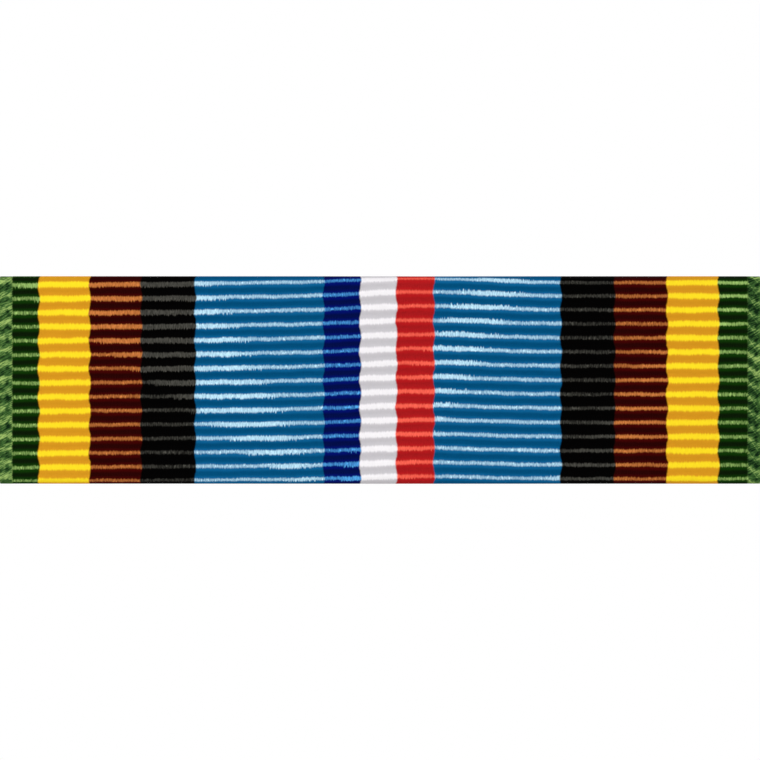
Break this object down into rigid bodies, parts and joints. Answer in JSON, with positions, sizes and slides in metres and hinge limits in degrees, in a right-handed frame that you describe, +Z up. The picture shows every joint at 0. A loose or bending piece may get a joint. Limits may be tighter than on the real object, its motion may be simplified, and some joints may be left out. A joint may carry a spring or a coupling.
{
  "type": "service ribbon bar",
  "caption": "Striped woven ribbon on a flat slide unit, run onto a dished mount bar that pins through cloth with posts and pinch-wing clutches.",
  "frame": {"origin": "middle of the mount bar's face that lies against the uniform", "axes": "+X along the bar, to the right as seen from the front; +Y out of the back, through the uniform; +Z up; the ribbon's face looks along -Y"},
  "size_m": [0.035, 0.0109, 0.0096],
  "materials": {
    "ribbon": "ribbed silk-like weave in stripes: green, yellow, brown, black, light blue, navy, white, red, light blue, black, brown, yellow, green",
    "core": "plain rolled sheet",
    "channel": "satin, folded sheet",
    "mount": "satin, pressed sheet",
    "post": "turned, bright",
    "clutch": "drawn and plated, bright",
    "wing": "spring strip, bright"
  },
  "bodies": {
    "mount": {"mount_bar": "mount", "left_post": "post", "right_post": "post"},
    "ribbon_unit": {"ribbon": "ribbon", "ribbon_core": "core", "slide_channel": "channel"},
    "left_clutch": {"left_clutch_base": "clutch", "left_clutch_cap": "clutch"},
    "right_clutch": {"right_clutch_base": "clutch", "right_clutch_cap": "clutch"},
    "left_outer_wing": {"left_clutch_outer_wing": "wing"},
    "left_inner_wing": {"left_clutch_inner_wing": "wing"},
    "right_outer_wing": {"right_clutch_outer_wing": "wing"},
    "right_inner_wing": {"right_clutch_inner_wing": "wing"}
  },
  "joints": [
    {"name": "ribbon_slide", "type": "slide", "parent": "mount", "child": "ribbon_unit", "axis": [1, 0, 0], "range_m": [-0.036, 0.036]},
    {"name": "left_clutch_pull", "type": "slide", "parent": "mount", "child": "left_clutch", "axis": [0, 1, 0], "range_m": [0, 0.0065]},
    {"name": "left_outer_wing_pinch", "type": "slide", "parent": "left_clutch", "child": "left_outer_wing", "axis": [1, 0, 0], "range_m": [0, 0.00055], "stiffness_N_per_m": 3000},
    {"name": "left_inner_wing_pinch", "type": "slide", "parent": "left_clutch", "child": "left_inner_wing", "axis": [-1, 0, 0], "range_m": [0, 0.00055], "stiffness_N_per_m": 3000},
    {"name": "right_clutch_pull", "type": "slide", "parent": "mount", "child": "right_clutch", "axis": [0, 1, 0], "range_m": [0, 0.0065]},
    {"name": "right_outer_wing_pinch", "type": "slide", "parent": "right_clutch", "child": "right_outer_wing", "axis": [-1, 0, 0], "range_m": [0, 0.00055], "stiffness_N_per_m": 3000},
    {"name": "right_inner_wing_pinch", "type": "slide", "parent": "right_clutch", "child": "right_inner_wing", "axis": [1, 0, 0], "range_m": [0, 0.00055], "stiffness_N_per_m": 3000}
  ],
  "couplings": [
    {"joint": "left_inner_wing_pinch", "follows": "left_outer_wing_pinch", "ratio": 1},
    {"joint": "right_inner_wing_pinch", "follows": "right_outer_wing_pinch", "ratio": 1}
  ]
}
